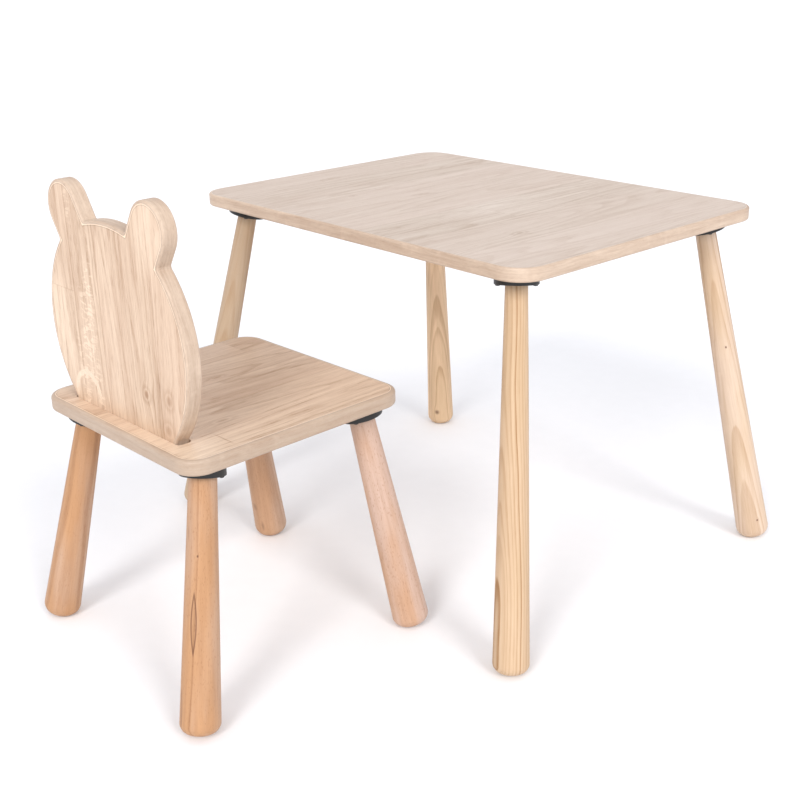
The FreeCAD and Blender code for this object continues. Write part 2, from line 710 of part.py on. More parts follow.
make_board("table", "table_top")
make_band("table", "table_edge_band")
make_board("chair", "seat_board")
make_band("chair", "seat_edge_band")
make_backrest()
plate_screw = make_plate_screw()
for owner, corners in CORNERS.items():
    for corner in corners:
        make_plate(owner, corner)
        make_leg(owner, corner)
        make_sleeve(owner, corner)
        make_bolt(owner, corner)
    make_group(f"{owner}_plate_screws", plate_screw, [
        plate_steps(owner, corner) + [shift(x, y, f"0 - {SCREW_LEVEL}")]
        for corner in corners for x, y in screw_spots()])
back_screw = make_back_screw()
make_group("backrest_screws", back_screw, [
    owner_steps("chair") + [shift(f"back_aside + {spot}", back_line(), "chair_height - chair_board")]
    for spot in back_screw_spots()])


def overall_box():
    box = FreeCAD.BoundBox()
    for node in NODES:
        box.add(node.Shape.BoundBox)
    return box


# Bring the middle of the set's box over the origin
doc.recompute()
box = overall_box()
sheet.set(CELL_OF["origin_x"], str(-(box.XMin + box.XMax) / 2))
sheet.set(CELL_OF["origin_y"], str(-(box.YMin + box.YMax) / 2))
doc.recompute()

# Check every object, every cut and every sub-part before anything is written
for thing in doc.Objects:
    if "Invalid" in thing.State or "Error" in thing.State:
        raise RuntimeError(f"{thing.Name} failed: {thing.State}")
    if thing.TypeId in ("PartDesign::Pocket", "PartDesign::Groove"):
        removed = thing.BaseFeature.Shape.Volume - thing.Shape.Volume
        if removed < 0.1:
            raise RuntimeError(f"{thing.Name} cuts nothing")
for node in NODES:
    if node.Shape.isNull() or not node.Shape.isValid():
        raise RuntimeError(f"{node.Label} has no valid shape")

os.makedirs("parts", exist_ok=True)
for node in NODES:
    node.Shape.exportStep(f"parts/{node.Label}.step")
print(f"{len(NODES)} sub-parts, box {overall_box()}")
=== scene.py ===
import json
import math
from dataclasses import dataclass

import bpy
from mathutils import Matrix, Vector


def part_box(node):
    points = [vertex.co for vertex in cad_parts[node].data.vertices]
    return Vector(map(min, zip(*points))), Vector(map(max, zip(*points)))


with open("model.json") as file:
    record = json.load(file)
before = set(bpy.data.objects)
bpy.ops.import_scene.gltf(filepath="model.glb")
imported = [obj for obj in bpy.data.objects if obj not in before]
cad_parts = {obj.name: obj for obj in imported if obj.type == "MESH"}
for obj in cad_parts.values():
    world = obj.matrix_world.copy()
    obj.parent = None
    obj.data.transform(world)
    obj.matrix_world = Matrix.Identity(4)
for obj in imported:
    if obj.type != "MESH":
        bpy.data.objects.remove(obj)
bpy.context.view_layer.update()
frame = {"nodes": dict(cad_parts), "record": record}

bl_info = {
    "name": "Children's Table and Chair",
    "version": (1, 0, 0),
    "blender": (4, 5, 0),
    "location": "3D View > Sidebar > Table and Chair",
    "description": "Finishes a play table and its bear-eared chair in oak board, ash and beech",
    "category": "Object",
}

NODES = frame["nodes"]

# The chair is turned a little out of square with the table, and slides along the way that it faces
SLIDE = frame["record"]["behaviour"]["joints"][0]["axis"]
CHAIR_TURN = math.atan2(-SLIDE[0], SLIDE[1])

# The outlines of the table's and seat's boards, inside their edging
TABLE_CORNER = 0.0325
SEAT_HALF = 0.145
SEAT_CORNER = 0.023

# The outline of the backrest's board, inside its edging: a disc, a flatter crown and two ears, with
# heights above the seat
DISC_MIDDLE = 0.0915
DISC_RADIUS = 0.1315
CROWN_MIDDLE = 0.0495
CROWN_RADIUS = 0.1665
EAR_ANGLE = math.radians(32.0)
EAR_REACH = 0.155
EAR_RADIUS = 0.0275

# The camera stands off the middle of the table. Its angles are in radians
CAMERA_LENS = 53.8
CAMERA_FROM_TABLE = Vector((1.10199, -1.10482, 0.0))
CAMERA_HEIGHT = 0.79833
CAMERA_HEADING = 0.844
CAMERA_DIP = 0.374
CAMERA_ROLL = -0.021

# The two lamps, as degrees aside from the camera's heading and degrees above the floor
LEFT_LAMP = (25.0, 34.0)
RIGHT_LAMP = (-32.0, 32.0)

KNOT_BROWN = (0.10, 0.032, 0.014)


def middle(node):
    """The middle of a CAD node's box."""
    low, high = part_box(node)
    return (low + high) / 2


def named(*words):
    """The CAD nodes whose names hold every one of the words, in order."""
    return sorted(name for name in NODES if all(word in name for word in words))


# ---------------------------------------------------------------- shader maths


class Level:
    """A shader socket, so that sums on what varies over a surface are written as Python."""

    def __init__(self, finish, socket):
        self.finish = finish
        self.socket = socket

    def maths(self, operation, *terms):
        return self.finish.node("ShaderNodeMath", {"operation": operation}, dict(enumerate(terms)))

    def __add__(self, other):
        return self.maths("ADD", self, other)

    def __radd__(self, other):
        return self.maths("ADD", other, self)

    def __sub__(self, other):
        return self.maths("SUBTRACT", self, other)

    def __rsub__(self, other):
        return self.maths("SUBTRACT", other, self)

    def __mul__(self, other):
        return self.maths("MULTIPLY", self, other)

    def __rmul__(self, other):
        return self.maths("MULTIPLY", other, self)

    def __truediv__(self, other):
        return self.maths("DIVIDE", self, other)

    def __pow__(self, power):
        return self.maths("POWER", self, power)

    def __abs__(self):
        return self.maths("ABSOLUTE", self)

    def floor(self):
        return self.maths("FLOOR", self)

    def fraction(self):
        return self.maths("FRACT", self)

    def root(self):
        return self.maths("SQRT", self)

    def lesser(self, other):
        return self.maths("MINIMUM", self, other)

    def greater(self, other):
        return self.maths("MAXIMUM", self, other)

    def step(self, low, high, start, end):
        """A smooth step from start to end as the level goes from low to high."""
        return self.finish.node(
            "ShaderNodeMapRange",
            {"interpolation_type": "SMOOTHSTEP"},
            {"Value": self, "From Min": low, "From Max": high, "To Min": start, "To Max": end},
        )

    def rise(self, low, high):
        """0 below low, 1 above high, and a smooth step between."""
        return self.step(low, high, 0.0, 1.0)

    def fall(self, low, high):
        """1 below low, 0 above high, and a smooth step between."""
        return self.step(low, high, 1.0, 0.0)

    def held(self, low, high):
        """The level, kept between two numbers."""
        return self.lesser(high).greater(low)


class Finish:
    """One material and the nodes that make it."""

    def __init__(self, name):
        self.material = bpy.data.materials.new(name)
        self.material.use_nodes = True
        self.tree = self.material.node_tree
        self.tree.nodes.clear()

    def node(self, kind, settings, values, output=0):
        """Adds a node: first its settings, then the values and links of its sockets."""
        made = self.tree.nodes.new(kind)
        for name, value in settings.items():
            setattr(made, name, value)
        for name, value in values.items():
            if isinstance(value, Level):
                self.tree.links.new(value.socket, made.inputs[name])
            else:
                made.inputs[name].default_value = value
        return Level(self, made.outputs[output]) if made.outputs else None

    def place(self, origin=(0.0, 0.0, 0.0), turn=(0.0, 0.0, 0.0)):
        """The surface's own position, in metres, in a frame at origin turned by three angles."""
        here = self.node("ShaderNodeTexCoord", {}, {}, output="Object")
        return self.node(
            "ShaderNodeMapping",
            {"vector_type": "TEXTURE"},
            {"Vector": here, "Location": origin, "Rotation": turn},
        )

    def split(self, vector):
        """The three parts of a vector."""
        parts = self.node("ShaderNodeSeparateXYZ", {}, {0: vector})
        outputs = parts.socket.node.outputs
        return Level(self, outputs[0]), Level(self, outputs[1]), Level(self, outputs[2])

    def vector(self, x, y, z):
        """A vector from its three parts."""
        return self.node("ShaderNodeCombineXYZ", {}, {0: x, 1: y, 2: z})

    def noise(self, x, y, z, detail=2.0, roughness=0.5, distortion=0.0):
        """Smooth noise round 0.5, one unit to a blotch, so a factor on a place is blotches a metre."""
        return self.node(
            "ShaderNodeTexNoise",
            {"noise_dimensions": "3D"},
            {
                "Vector": self.vector(x, y, z),
                "Scale": 1.0,
                "Detail": detail,
                "Roughness": roughness,
                "Distortion": distortion,
            },
        )

    def chance(self, number, shift=0.0):
        """A number from 0 to 1 that is the same wherever the given whole number is."""
        settings = {"noise_dimensions": "1D"}
        return self.node("ShaderNodeTexWhiteNoise", settings, {"W": number + shift})

    def mix(self, first, second, share):
        """A colour between two colours, each three numbers or a level."""
        values = {0: share, 6: colour(first), 7: colour(second)}
        return self.node("ShaderNodeMix", {"data_type": "RGBA"}, values, output=2)

    def shade(self, base, amount):
        """A colour made darker or lighter by a number."""
        return self.node("ShaderNodeVectorMath", {"operation": "SCALE"}, {0: base, "Scale": amount})

    def bump(self, height, distance, strength):
        """A relief for the surface, with its greatest height in metres."""
        values = {"Height": height, "Distance": distance, "Strength": strength}
        return self.node("ShaderNodeBump", {}, values)

    def close(self, base, roughness, relief, **fixed):
        """Ends the material in a surface shader. The fixed values are the same all over."""
        values = {"Base Color": base, "Roughness": roughness, "Normal": relief}
        values.update({name.replace("_", " "): value for name, value in fixed.items()})
        surface = self.node("ShaderNodeBsdfPrincipled", {}, values)
        self.node("ShaderNodeOutputMaterial", {}, {"Surface": surface})
        return self.material


def colour(rgb):
    """What a colour socket takes: four numbers, or a level as it is."""
    return rgb if isinstance(rgb, Level) else (*rgb[:3], 1.0)


def tinted(rgb, *factors):
    """A colour times one factor, or times one for each of red, green and blue."""
    red, green, blue = factors * 3 if len(factors) == 1 else factors
    return (rgb[0] * red, rgb[1] * green, rgb[2] * blue)


def coat(names, material):
    """Gives CAD nodes a material, in place of the ones they were packed with."""
    for name in names:
        slots = NODES[name].data.materials
        slots.clear()
        slots.append(material)


# ---------------------------------------------------------------- oak board


@dataclass
class Mark:
    """A knot, a patch of another tone, a patch of painted light, a patch of painted shade or a pale arch on
    a board, in metres across and along the grain.

    A depth under 0 makes the board paler."""

    across: float
    along: float
    wide: float
    long: float
    depth: float
    kind: str = "knot"

    def reach(self, across, along):
        """How far out a point is: 0 in the middle of the mark, 1 at its rim."""
        aside = (across - self.across) / self.wide
        ahead = (along - self.along) / self.long
        return (aside**2.0 + ahead**2.0).root()

    def tone(self, across, along):
        """How much the mark darkens the board there. An arch is a pale line along the upper rim."""
        reach = self.reach(across, along)
        if self.kind == "patch":
            return reach.fall(0.1, 1.2) * self.depth
        if self.kind == "arch":
            upper = along.rise(self.along - self.long * 0.3, self.along + self.long * 0.2)
            return reach.rise(0.82, 0.95) * reach.fall(1.0, 1.14) * upper * -self.depth
        core = reach.fall(0.2, 0.8) * self.depth
        return core + reach.rise(0.7, 1.0) * reach.fall(1.0, 1.7) * (self.depth * 0.45)


@dataclass
class Planks:
    """How one board's oak runs: where two planks meet, a plank's width, how strong the grain is, and marks.

    Rays are pale flecks in a strip of the board, between two edges across it."""

    seed: float
    joint: float
    width: float
    marks: tuple
    contrast: float = 1.0
    ray_depth: float = 0.0
    ray_edges: tuple = (-1.0, 1.0)


def oak(finish, place, look, planks):
    """The grain of an oak board: planks, growth rings, pores, knots and rays.

    Returns its darkness, its pinkness and the height of its grain."""
    seed = planks.seed
    across, along, _ = finish.split(place)
    strip = ((across - planks.joint) / planks.width).floor()
    first = finish.chance(strip, seed)
    tile = ((along / look.plank_length) + first * 3.0).floor()
    second = finish.chance(strip + tile * 7.3, seed + 0.5)
    drift = finish.noise(across * 9.0, along * 4.0, first * 31.0 + seed, detail=2.0)
    wobble = finish.noise(across * 60.0, along * 22.0, first * 11.0 + seed, detail=2.0)
    bent = across + (drift - 0.5) * 0.014 + (wobble - 0.5) * 0.0012
    spots = None
    for mark in planks.marks:
        if mark.kind == "knot":
            bent = bent + mark.reach(across, along).fall(0.0, 3.4) * (mark.wide * 0.9)
        tone = mark.tone(across, along)
        spots = tone if spots is None else spots + tone
    shift = first * 13.0 + second * 17.0 + seed
    broad = finish.noise(bent * 62.0, along * 1.8, shift, detail=3.0, roughness=0.6)
    streak = finish.noise(bent * 330.0, along * 5.0, shift + 4.0, detail=4.0, roughness=0.62)
    fibre = finish.noise(bent * 1300.0, along * 26.0, shift + 9.0, detail=3.0, roughness=0.6)
    pore = finish.noise(bent * 1700.0, along * 60.0, shift + 21.0, detail=1.0)
    heart = finish.noise(bent * 17.0, along * 1.5, shift + 33.0, detail=1.0)
    rings = heart * look.ring_count + (wobble - 0.5) * 0.5
    year = rings.fraction()
    line = year.rise(0.30, 0.86) * year.fall(0.88, 1.0) * (0.35 + finish.chance(rings.floor(), seed))
    grain = (broad - 0.5) * 0.85 + (streak - 0.5) * 0.8 + (fibre - 0.5) * 0.8 + line * 0.24 - 0.09
    pits = pore.rise(0.57, 0.68)
    grain = grain + pits * (0.22 + line * 0.25)
    side = abs(((across - planks.joint) / planks.width + 0.5).fraction() - 0.5) * planks.width
    end = abs(((along / look.plank_length) + first * 3.0 + 0.5).fraction() - 0.5) * look.plank_length
    gap = side.fall(0.0003, 0.0012).greater(end.fall(0.0002, 0.0009) * 0.7)
    dark = 0.46 + (second - 0.5) * look.plank_change + grain * planks.contrast + gap * look.joint_depth
    if spots is not None:
        dark = dark + spots
    if planks.ray_depth:
        left, right = planks.ray_edges
        fleck = finish.noise(across * 85.0, along * 210.0, shift + 40.0, detail=1.0, distortion=0.9)
        near = across.rise(left - 0.004, left + 0.01) * across.fall(right - 0.01, right)
        field = finish.noise(across * 30.0, along * 9.0, seed + 3.0, detail=1.0).rise(0.42, 0.6)
        dark = dark - fleck.rise(0.50, 0.60) * near * field * planks.ray_depth
    flush = finish.noise(across * 18.0, along * 3.0, shift + 60.0, detail=2.0)
    pink = (flush - 0.5) * 1.6 + first * 0.8
    height = fibre * 0.5 + streak * 0.3 - pits * 0.8 - gap * 1.2
    return dark, pink, height


def frame_line(finish, place, half_across, half_along, corner):
    """How far inside the rounded outline of a board a point lies, in metres."""
    across, along, _ = finish.split(place)
    over_x = abs(across) - (half_across - corner)
    over_y = abs(along) - (half_along - corner)
    outside = (over_x.greater(0.0) ** 2.0 + over_y.greater(0.0) ** 2.0).root()
    return corner - outside - over_x.greater(over_y).lesser(0.0)


def bear_line(finish, place):
    """How far inside the backrest board's outline a point lies, in metres. Its foot has no edging."""
    across, along, _ = finish.split(place)
    out = abs(across)
    up = along - DISC_MIDDLE
    disc = DISC_RADIUS - (out * out + up * up).root()
    over = along - CROWN_MIDDLE
    crown = CROWN_RADIUS - (out * out + over * over).root()
    beside = out * math.cos(EAR_ANGLE) - up * math.sin(EAR_ANGLE)
    beyond = (out * math.sin(EAR_ANGLE) + up * math.cos(EAR_ANGLE) - EAR_REACH).greater(0.0)
    ear = EAR_RADIUS - (beside * beside + beyond * beyond).root()
    foot = along.fall(0.02, 0.04)
    return disc.lesser(crown).greater(ear) + foot


def board_finish(name, look, tones, origin, turn, planks, line):
    """The face of an oak board, with a painted highlight line where its edging begins and a painted shade
    band just inside it.
    """
    pale, deep, blush = tones
    finish = Finish(name)
    place = finish.place(origin, turn)
    dark, pink, height = oak(finish, place, look, planks)
    base = finish.mix(pale, deep, dark.held(0.0, 1.0))
    base = finish.mix(base, blush, (pink * 0.5).held(0.0, 0.6))
    base = finish.mix(base, tinted(deep, 0.35), (dark - 1.0).held(0.0, 1.0))
    inside = line(finish, place)
    # Painted highlight: a pale line along the board's outline, standing in for the light caught by the
    # rounded edge
    base = finish.mix(base, tinted(pale, 1.15), inside.fall(0.0004, 0.0010) * 0.9)
    # Painted shade: a darker band just inside the painted highlight, standing in for the shading of the
    # rounded edge
    rim = inside.rise(0.0008, 0.0013) * inside.fall(0.0014, 0.0024)
    base = finish.shade(base, 1.0 - rim * 0.25)
    roughness = 0.44 + (dark - 0.5) * 0.22
    relief = finish.bump(height, 0.00010, 1.0)
    return finish.close(base, roughness, relief, Specular_IOR_Level=0.45)


def edging_finish(name, pale, deep, origin, turn, seed):
    """The strip glued round a board's edge: the same oak, with its grain along the strip."""
    finish = Finish(name)
    first, second, fine = finish.split(finish.place(origin, turn))
    wave = finish.noise(first * 11.0, second * 11.0, fine * 20.0 + seed, detail=2.0)
    bent = fine + (wave - 0.5) * 0.007
    broad = finish.noise(first * 8.0, second * 8.0, bent * 190.0 + seed, detail=3.0)
    cloud = finish.noise(first * 26.0, second * 26.0, fine * 30.0 + seed + 40.0, detail=3.0)
    streak = finish.noise(first * 34.0, second * 34.0, bent * 800.0 + seed + 7.0, detail=4.0, roughness=0.65)
    fibre = finish.noise(first * 160.0, second * 160.0, bent * 2600.0 + seed + 13.0, detail=2.0)
    pore = finish.noise(first * 230.0, second * 230.0, bent * 3400.0 + seed, detail=1.0)
    pits = pore.rise(0.58, 0.68)
    dark = 0.42 + (broad - 0.5) * 0.9 + (cloud - 0.5) * 0.4 + (streak - 0.5) * 0.9 + (fibre - 0.5) * 0.4
    dark = dark + pits * 0.2
    base = finish.mix(pale, deep, dark.held(0.0, 1.0))
    worn = finish.noise(first * 70.0, second * 70.0, fine * 70.0 + seed + 80.0, detail=2.0)
    base = finish.mix(base, tinted(pale, 1.12), worn.rise(0.55, 0.75) * 0.25)
    roughness = 0.46 + (streak - 0.5) * 0.15
    relief = finish.bump(fibre * 0.5 + streak * 0.4 - pits, 0.00007, 1.0)
    return finish.close(base, roughness, relief, Specular_IOR_Level=0.45)


# ---------------------------------------------------------------- turned legs


def leg_axis(node):
    """The middle of a leg's foot and the turn that sets a frame's Z up the leg, from its own mesh."""
    points = [vertex.co for vertex in NODES[node].data.vertices]
    low = min(point.z for point in points)
    high = max(point.z for point in points)
    span = high - low
    tops = [point for point in points if point.z > high - span * 0.04]
    feet = [point for point in points if point.z < low + span * 0.05]
    top = sum(tops, Vector()) / len(tops)
    foot = sum(feet, Vector()) / len(feet)
    turn = (top - foot).to_track_quat("Z", "Y").to_euler()
    return foot, turn


@dataclass
class LegMark:
    """A knot in a leg, or a dark line round a narrow spindle, in the leg's own frame, in metres."""

    x: float
    y: float
    z: float
    wide: float
    long: float
    depth: float
    spindle: bool = False

    def tone(self, x, y, z):
        """How dark the mark is there."""
        if self.spindle:
            lens = abs(x - self.x) / self.wide + ((z - self.z) / self.long) ** 2.0
            rim = lens.rise(0.45, 0.85) * lens.fall(0.95, 1.2)
            core = lens.fall(0.9, 1.0) * 0.18
            return (rim + core) * y.rise(0.0, 0.006) * self.depth
        return self.reach(x, y, z).fall(0.15, 1.05) * self.depth

    def reach(self, x, y, z):
        """How far out a point is: 0 in the middle of the mark, 1 at its rim."""
        aside = (x - self.x) / self.wide
        ahead = (y - self.y) / self.wide
        above = (z - self.z) / self.long
        return (aside**2.0 + ahead**2.0 + above**2.0).root()


@dataclass
class Timber:
    """How one leg's wood runs.

    The heart is the middle of the growth rings, cone how fast they close in up the leg and gap one
    ring's width, with lengths in metres. Lines is how dark the late wood is, top_warm how warm the top
    is, flecks how dark the flecks are and blush how warm the patches are, each from 0 to about 1."""

    pale: tuple
    deep: tuple
    warm: tuple
    heart: tuple
    cone: float
    gap: float
    lines: float
    marks: tuple = ()
    top_warm: float = 0.0
    flecks: float = 0.0
    blush: float = 0.6


def leg_finish(name, node, timber, seed):
    """A leg turned from solid wood: growth rings cut by the taper, pores or flecks, and knots."""
    foot, turn = leg_axis(node)
    finish = Finish(name)
    x, y, z = finish.split(finish.place(foot, turn))
    sway = finish.noise(x * 5.0 + seed, y * 5.0, z * 2.6, detail=2.0)
    ripple = finish.noise(x * 60.0, y * 60.0, z * 8.0 + seed, detail=3.0)
    side = x - timber.heart[0]
    back = y - timber.heart[1]
    spots = None
    for mark in timber.marks:
        if not mark.spindle:
            side = side + mark.reach(x, y, z).fall(0.0, 3.0) * (mark.wide * 0.9)
        tone = mark.tone(x, y, z)
        spots = tone if spots is None else spots.greater(tone)
    radius = (side * side + back * back).root() + z * timber.cone
    radius = radius + (sway - 0.5) * 0.026 + (ripple - 0.5) * 0.0022
    uneven = finish.noise(radius * 130.0, seed, 0.0, detail=1.0)
    count = radius / timber.gap + (uneven - 0.5) * 2.2
    ring = count.fraction()
    year = finish.chance(count.floor(), seed)
    line = ring.rise(0.30, 0.86) * ring.fall(0.88, 1.0) * (0.2 + year * year)
    fibre = finish.noise(x * 950.0, y * 950.0, z * 20.0 + seed, detail=3.0, roughness=0.6)
    streak = finish.noise(x * 190.0, y * 190.0, z * 4.0 + seed, detail=3.0)
    pore = finish.noise(x * 1700.0, y * 1700.0, z * 50.0 + seed, detail=1.0)
    pits = pore.rise(0.56, 0.68) * (0.25 + line)
    dark = 0.14 + line * timber.lines + (fibre - 0.5) * 0.45 + (streak - 0.5) * 0.5 + pits * 0.2
    if timber.flecks:
        dash = finish.noise(x * 900.0, y * 900.0, z * 260.0 + seed, detail=0.0)
        dark = dark + dash.rise(0.66, 0.76) * timber.flecks
    glow = finish.noise(x * 26.0, y * 26.0, z * 5.0 + seed + 5.0, detail=3.0)
    share = glow.rise(0.38, 0.66) * timber.blush
    if timber.top_warm:
        share = share.greater(z.rise(0.16, 0.27) * timber.top_warm)
    base = finish.mix(timber.pale, timber.warm, share)
    base = finish.mix(base, timber.deep, dark.held(0.0, 1.0))
    if spots is not None:
        base = finish.mix(base, KNOT_BROWN, spots)
    roughness = 0.5 + (fibre - 0.5) * 0.15
    relief = finish.bump(fibre * 0.4 - pits * 0.8 - line * 0.3, 0.00008, 1.0)
    return finish.close(base, roughness, relief, Specular_IOR_Level=0.4)


def coat_legs(owner, wood, timbers, seed, step):
    """Gives each leg of the table or the chair its own finish, each with a seed one step on."""
    for number, (corner, timber) in enumerate(timbers.items()):
        node = f"{owner}_leg_{corner}"
        coat([node], leg_finish(f"{owner}_{wood}_{corner}", node, timber, seed + number * step))


# ---------------------------------------------------------------- fittings


def plastic_finish(name, tint):
    """Moulded black plastic: a fine grained skin, a little polished where it is handled."""
    finish = Finish(name)
    x, y, z = finish.split(finish.place())
    grain = finish.noise(x * 1800.0, y * 1800.0, z * 1800.0, detail=2.0)
    cloud = finish.noise(x * 60.0, y * 60.0, z * 60.0, detail=3.0)
    base = finish.mix(tint, tinted(tint, 2.2), cloud.rise(0.35, 0.8))
    roughness = 0.46 + (cloud - 0.5) * 0.2 + (grain - 0.5) * 0.2
    relief = finish.bump(grain, 0.00008, 0.8)
    return finish.close(base, roughness, relief, Specular_IOR_Level=0.5)


def metal_finish(name, tint, rough):
    """Plated or blackened steel with turning marks and a little grime."""
    finish = Finish(name)
    x, y, z = finish.split(finish.place())
    scratch = finish.noise(x * 2400.0, y * 2400.0, z * 500.0, detail=3.0)
    cloud = finish.noise(x * 180.0, y * 180.0, z * 180.0, detail=3.0)
    base = finish.mix(tint, tinted(tint, 0.55), cloud.rise(0.45, 0.8))
    roughness = rough + (scratch - 0.5) * 0.25 + (cloud - 0.5) * 0.15
    relief = finish.bump(scratch, 0.00003, 0.6)
    return finish.close(base, roughness, relief, Metallic=1.0)


# ---------------------------------------------------------------- settings


class BoardLook(bpy.types.PropertyGroup):
    """The oak of the boards and their edging"""

    plank_length: bpy.props.FloatProperty(
        name="Plank length",
        description="Length of one plank of a board",
        default=2.40,
        unit="LENGTH",
    )
    plank_change: bpy.props.FloatProperty(
        name="Plank change",
        description="How much the planks differ in tone",
        default=0.16,
    )
    ring_count: bpy.props.FloatProperty(
        name="Ring count",
        description="Growth rings over a wide board",
        default=16.0,
    )
    joint_depth: bpy.props.FloatProperty(
        name="Joint depth",
        description="How dark the line between two planks is",
        default=0.24,
    )
    top_pale: bpy.props.FloatVectorProperty(
        name="Table pale",
        description="Palest oak of the table top",
        default=(0.685, 0.585, 0.495),
        subtype="COLOR",
    )
    top_deep: bpy.props.FloatVectorProperty(
        name="Table deep",
        description="Darkest oak of the table top",
        default=(0.42, 0.31, 0.23),
        subtype="COLOR",
    )
    top_blush: bpy.props.FloatVectorProperty(
        name="Table blush",
        description="Pink cast of the table top",
        default=(0.63, 0.505, 0.425),
        subtype="COLOR",
    )
    seat_pale: bpy.props.FloatVectorProperty(
        name="Chair pale",
        description="Palest oak of the seat and backrest",
        default=(0.80, 0.62, 0.46),
        subtype="COLOR",
    )
    seat_deep: bpy.props.FloatVectorProperty(
        name="Chair deep",
        description="Darkest oak of the seat and backrest",
        default=(0.40, 0.245, 0.15),
        subtype="COLOR",
    )
    seat_blush: bpy.props.FloatVectorProperty(
        name="Chair blush",
        description="Pink cast of the seat and backrest",
        default=(0.66, 0.46, 0.33),
        subtype="COLOR",
    )
    edge_pale: bpy.props.FloatVectorProperty(
        name="Edging pale",
        description="Palest oak of the edging",
        default=(0.66, 0.52, 0.40),
        subtype="COLOR",
    )
    edge_deep: bpy.props.FloatVectorProperty(
        name="Edging deep",
        description="Darkest oak of the edging",
        default=(0.38, 0.255, 0.175),
        subtype="COLOR",
    )


class LegLook(bpy.types.PropertyGroup):
    """The ash of the table's legs and the beech of the chair's"""

    ash_pale: bpy.props.FloatVectorProperty(
        name="Ash pale",
        description="Early wood of the table legs",
        default=(0.62, 0.445, 0.29),
        subtype="COLOR",
    )
    ash_deep: bpy.props.FloatVectorProperty(
        name="Ash deep",
        description="Late wood of the table legs",
        default=(0.34, 0.18, 0.075),
        subtype="COLOR",
    )
    ash_warm: bpy.props.FloatVectorProperty(
        name="Ash warm",
        description="Warm patches of the table legs",
        default=(0.57, 0.40, 0.24),
        subtype="COLOR",
    )
    beech_pale: bpy.props.FloatVectorProperty(
        name="Beech pale",
        description="Palest wood of the chair legs",
        default=(0.52, 0.335, 0.225),
        subtype="COLOR",
    )
    beech_deep: bpy.props.FloatVectorProperty(
        name="Beech deep",
        description="Darkest wood of the chair legs",
        default=(0.30, 0.14, 0.06),
        subtype="COLOR",
    )
    beech_warm: bpy.props.FloatVectorProperty(
        name="Beech warm",
        description="Orange patches of the chair legs",
        default=(0.50, 0.255, 0.11),
        subtype="COLOR",
    )


class FittingLook(bpy.types.PropertyGroup):
    """The leg plates and their steel"""

    plastic: bpy.props.FloatVectorProperty(
        name="Plastic",
        description="Colour of the leg plates",
        default=(0.008, 0.008, 0.008),
        subtype="COLOR",
    )
    black: bpy.props.FloatVectorProperty(
        name="Black screws",
        description="Colour of the plate screws",
        default=(0.06, 0.06, 0.06),
        subtype="COLOR",
    )
    zinc: bpy.props.FloatVectorProperty(
        name="Zinc",
        description="Colour of the inserts and bolts",
        default=(0.62, 0.62, 0.60),
        subtype="COLOR",
    )


class StageLook(bpy.types.PropertyGroup):
    """The floor and the light"""

    floor: bpy.props.FloatVectorProperty(
        name="Floor",
        description="Colour of the floor",
        default=(0.92, 0.92, 0.93),
        subtype="COLOR",
    )
    sky_tint: bpy.props.FloatVectorProperty(
        name="Sky tint",
        description="Colour of the light from all round",
        default=(0.94, 0.95, 1.0),
        subtype="COLOR",
    )
    sky: bpy.props.FloatProperty(
        name="Sky",
        description="Light from all round",
        default=0.85,
    )
    left_lamp: bpy.props.FloatProperty(
        name="Left lamp",
        description="Strength of the lamp on the left",
        default=1.48,
    )
    right_lamp: bpy.props.FloatProperty(
        name="Right lamp",
        description="Strength of the lamp on the right",
        default=1.32,
    )
    softness: bpy.props.FloatProperty(
        name="Softness",
        description="How wide the lamps look",
        default=math.radians(20.0),
        subtype="ANGLE",
    )


# ---------------------------------------------------------------- operators


class OBJECT_OT_table_top(bpy.types.Operator):
    """Finish the table top and its edging"""

    bl_idname = "object.play_table_top"
    bl_label = "Table Top"

    def execute(self, context):
        look = context.scene.play_board
        low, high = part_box("table_top")
        half = (high - low) / 2
        origin = middle("table_top")
        turn = (0.0, 0.0, 0.0)

        def line(finish, place):
            return frame_line(finish, place, half.x, half.y, TABLE_CORNER)

        tones = (look.top_pale, look.top_deep, look.top_blush)
        marks = (
            Mark(-0.121, -0.093, 0.0030, 0.0055, 0.6),
            Mark(0.182, -0.096, 0.0055, 0.010, 0.55),
            Mark(-0.062, -0.025, 0.0035, 0.010, 0.4),
            Mark(-0.235, -0.040, 0.0045, 0.014, 0.4),
            Mark(-0.140, 0.000, 0.010, 0.30, -0.25, "patch"),
            Mark(0.020, 0.100, 0.004, 0.060, 0.22, "patch"),
            Mark(0.152, 0.130, 0.005, 0.080, 0.2, "patch"),
            Mark(0.060, -0.010, 0.070, 0.110, -0.22, "patch"),
        )
        planks = Planks(seed=3.0, joint=-0.050, width=0.0855, marks=marks, contrast=0.8)
        coat(["table_top"], board_finish("table_oak", look, tones, origin, turn, planks, line))
        edging = edging_finish("table_edging", look.edge_pale, look.edge_deep, origin, turn, 5.0)
        coat(["table_edge_band"], edging)
        return {"FINISHED"}


